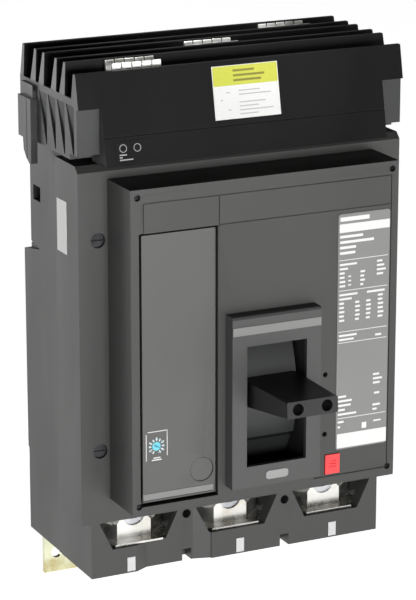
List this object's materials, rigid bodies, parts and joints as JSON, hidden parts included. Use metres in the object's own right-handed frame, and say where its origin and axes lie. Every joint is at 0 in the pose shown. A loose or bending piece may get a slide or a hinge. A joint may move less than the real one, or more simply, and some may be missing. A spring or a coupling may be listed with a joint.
{
  "type": "molded case circuit breaker",
  "caption": "Three-pole molded case circuit breaker with plug-on line jaws, toggle handle, trip unit and load lugs.",
  "frame": {"origin": "on the rear mounting plane, on the centreline of the middle pole, level with the load end of the base", "axes": "+X to the right seen from the front, +Y towards the mounting plane so the front faces -Y, +Z towards the line end"},
  "size_m": [0.237, 0.206, 0.3725],
  "materials": {
    "case_plastic": "fine moulded grain, charcoal",
    "housing_plastic": "moulded, near black",
    "trip_face_plastic": "satin moulded, charcoal",
    "handle_plastic": "satin black",
    "button_red": "glossy red",
    "circuit_board": "solder mask",
    "dial_plastic": "light grey",
    "label_grey": "printed film",
    "label_white": "printed label",
    "steel": "zinc plated",
    "crossbar_plastic": "moulded thermoset",
    "copper": "bare copper",
    "sensor_resin": "moulded resin",
    "lug_aluminium": "tin plated, bright",
    "plated_jaw": "silver plated copper",
    "yellow_zinc": "yellow passivated zinc"
  },
  "bodies": {
    "case": {"base_housing": "case_plastic", "main_cover": "case_plastic", "accessory_cover": "case_plastic", "trip_unit_case": "housing_plastic", "trip_unit_face": "trip_face_plastic", "trip_unit_board": "circuit_board", "test_port_cap": "trip_face_plastic", "trip_unit_strip": "dial_plastic", "trip_actuator": "steel", "handle_escutcheon": "housing_plastic", "handle_shroud": "housing_plastic", "handle_band": "label_grey", "rating_tag": "dial_plastic", "mechanism_frame": "steel", "cradle": "steel", "toggle_links": "steel", "main_springs": "steel", "flexible_shunts": "copper", "line_conductor_a": "copper", "line_conductor_b": "copper", "line_conductor_c": "copper", "arc_chute_a": "steel", "arc_chute_b": "steel", "arc_chute_c": "steel", "load_conductor_a": "copper", "load_conductor_b": "copper", "load_conductor_c": "copper", "current_sensor_a": "sensor_resin", "current_sensor_b": "sensor_resin", "current_sensor_c": "sensor_resin", "load_lug_a": "lug_aluminium", "load_lug_b": "lug_aluminium", "load_lug_c": "lug_aluminium", "lug_screws": "steel", "line_jaw_a": "plated_jaw", "line_jaw_b": "plated_jaw", "line_jaw_c": "plated_jaw", "jaw_springs": "steel", "jaw_housing": "housing_plastic", "nameplate": "label_grey", "caution_label": "label_white", "approval_plate": "housing_plastic", "side_label": "label_white", "phase_plates": "dial_plastic", "rear_bracket": "yellow_zinc", "bracket_screws": "steel", "cover_screws": "steel", "accessory_screws": "steel"},
    "handle": {"toggle_handle": "handle_plastic", "handle_drum": "housing_plastic", "handle_yoke": "steel"},
    "contacts": {"contact_crossbar": "crossbar_plastic", "contact_arm_a": "copper", "contact_arm_b": "copper", "contact_arm_c": "copper"},
    "button": {"push_to_trip_button": "button_red", "button_spring": "steel"},
    "trip_bar": {"trip_bar": "dial_plastic"},
    "dial": {"rating_dial": "dial_plastic"}
  },
  "joints": [
    {"name": "toggle_pivot", "type": "hinge", "parent": "case", "child": "handle", "pos_m": [0.0025, -0.063, 0.12], "axis": [-1, 0, 0], "range_deg": [-22.5, 13]},
    {"name": "contact_shaft", "type": "hinge", "parent": "case", "child": "contacts", "pos_m": [0, -0.043, 0.138], "axis": [-1, 0, 0], "range_deg": [-18.9, 10.8]},
    {"name": "button_press", "type": "slide", "parent": "case", "child": "button", "axis": [0, 1, 0], "range_m": [0, 0.003], "stiffness_N_per_m": 300, "springref_m": -0.003},
    {"name": "trip_bar_turn", "type": "hinge", "parent": "case", "child": "trip_bar", "pos_m": [0, -0.094, 0.08], "axis": [1, 0, 0], "range_deg": [0, 21.6]},
    {"name": "dial_turn", "type": "hinge", "parent": "case", "child": "dial", "pos_m": [-0.076, -0.142, 0.099], "axis": [0, -1, 0], "range_deg": [-135, 135]}
  ],
  "couplings": [
    {"joint": "contact_shaft", "follows": "toggle_pivot", "ratio": 0.83},
    {"joint": "trip_bar_turn", "follows": "button_press", "rad_per_m": 125}
  ]
}
